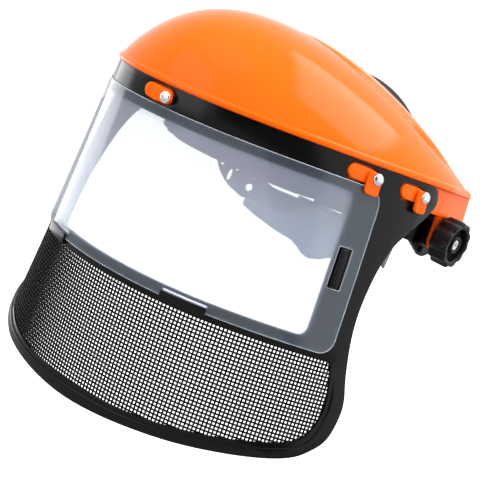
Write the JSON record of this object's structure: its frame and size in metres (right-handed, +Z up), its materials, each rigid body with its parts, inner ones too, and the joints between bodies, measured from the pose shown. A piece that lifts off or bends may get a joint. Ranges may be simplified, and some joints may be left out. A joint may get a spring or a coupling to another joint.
{
  "type": "browguard face shield",
  "caption": "Half-dome browguard on a ratchet headgear, carrying a curved visor with a clear window above and black mesh below, that tilts up on two side pivots.",
  "frame": {"origin": "midway between the two side pivots, on their axis, where the wearer's head is", "axes": "+X towards the wearer's left along the pivot axis, -Y forward, +Z up"},
  "size_m": [0.2808, 0.2965, 0.2741],
  "materials": {
    "crown": "glossy orange moulding",
    "frame": "glossy black moulding",
    "clear_sheet": "clear sheet with polished edges",
    "mesh": "black woven mesh",
    "rivet_steel": "domed and polished",
    "screw_steel": "plated",
    "knob": "satin black moulding",
    "headgear": "satin dark grey moulding",
    "washer": "matte",
    "brass_insert": "turned",
    "strap": "satin black moulding",
    "pinion": "grey moulding",
    "pad": "soft grey padding"
  },
  "bodies": {
    "headgear": {"forehead_band": "headgear", "brow_pad": "pad", "rear_band_left": "headgear", "rear_band_right": "headgear", "ratchet_housing": "headgear", "ratchet_cover": "headgear", "nape_pad": "pad", "top_strap_left": "strap", "top_strap_right": "strap", "strap_peg": "strap", "pivot_plate_left": "headgear", "pivot_plate_right": "headgear", "pivot_screw_left": "screw_steel", "pivot_screw_right": "screw_steel"},
    "visor": {"crown_shell": "crown", "visor_frame": "frame", "clear_window": "clear_sheet", "mesh_panel": "mesh", "rivet_front": "rivet_steel", "rivet_left_front": "rivet_steel", "rivet_left_rear": "rivet_steel", "rivet_right_front": "rivet_steel", "rivet_right_rear": "rivet_steel", "friction_washer_left": "washer", "friction_washer_right": "washer"},
    "left_knob": {"clamp_knob_left": "knob", "knob_nut_left": "brass_insert"},
    "right_knob": {"clamp_knob_right": "knob", "knob_nut_right": "brass_insert"},
    "size_wheel": {"ratchet_knob": "headgear", "drive_pinion": "pinion"},
    "key_front": {"turn_key_front": "crown"},
    "key_left_front": {"turn_key_left_front": "crown"},
    "key_left_rear": {"turn_key_left_rear": "crown"},
    "key_right_front": {"turn_key_right_front": "crown"},
    "key_right_rear": {"turn_key_right_rear": "crown"}
  },
  "joints": [
    {"name": "visor_tilt", "type": "hinge", "parent": "headgear", "child": "visor", "pos_m": [0, 0, 0], "axis": [-1, 0, 0], "range_deg": [0, 85]},
    {"name": "left_knob_turn", "type": "hinge", "parent": "headgear", "child": "left_knob", "pos_m": [0.1195, 0, 0], "axis": [1, 0, 0], "range_deg": [-90, 360]},
    {"name": "right_knob_turn", "type": "hinge", "parent": "headgear", "child": "right_knob", "pos_m": [-0.1195, 0, 0], "axis": [-1, 0, 0], "range_deg": [-90, 360]},
    {"name": "size_wheel_turn", "type": "hinge", "parent": "headgear", "child": "size_wheel", "pos_m": [0, 0.084, -0.034], "axis": [0, 1, 0], "range_deg": [-360, 360]},
    {"name": "front_key_turn", "type": "hinge", "parent": "visor", "child": "key_front", "pos_m": [0.0083, -0.18726, 0.01855], "axis": [-0.014, -0.9923, -0.1231], "range_deg": [0, 90]},
    {"name": "left_front_key_turn", "type": "hinge", "parent": "visor", "child": "key_left_front", "pos_m": [0.10813, -0.09566, 0.02195], "axis": [0.9042, -0.4146, 0.1028], "range_deg": [-90, 0]},
    {"name": "left_rear_key_turn", "type": "hinge", "parent": "visor", "child": "key_left_rear", "pos_m": [0.11981, -0.05242, 0.02175], "axis": [0.9704, -0.1878, 0.1517], "range_deg": [-90, 0]},
    {"name": "right_front_key_turn", "type": "hinge", "parent": "visor", "child": "key_right_front", "pos_m": [-0.10813, -0.09566, 0.02195], "axis": [-0.9042, -0.4146, 0.1028], "range_deg": [0, 90]},
    {"name": "right_rear_key_turn", "type": "hinge", "parent": "visor", "child": "key_right_rear", "pos_m": [-0.11981, -0.05242, 0.02175], "axis": [-0.9704, -0.1878, 0.1517], "range_deg": [0, 90]}
  ]
}
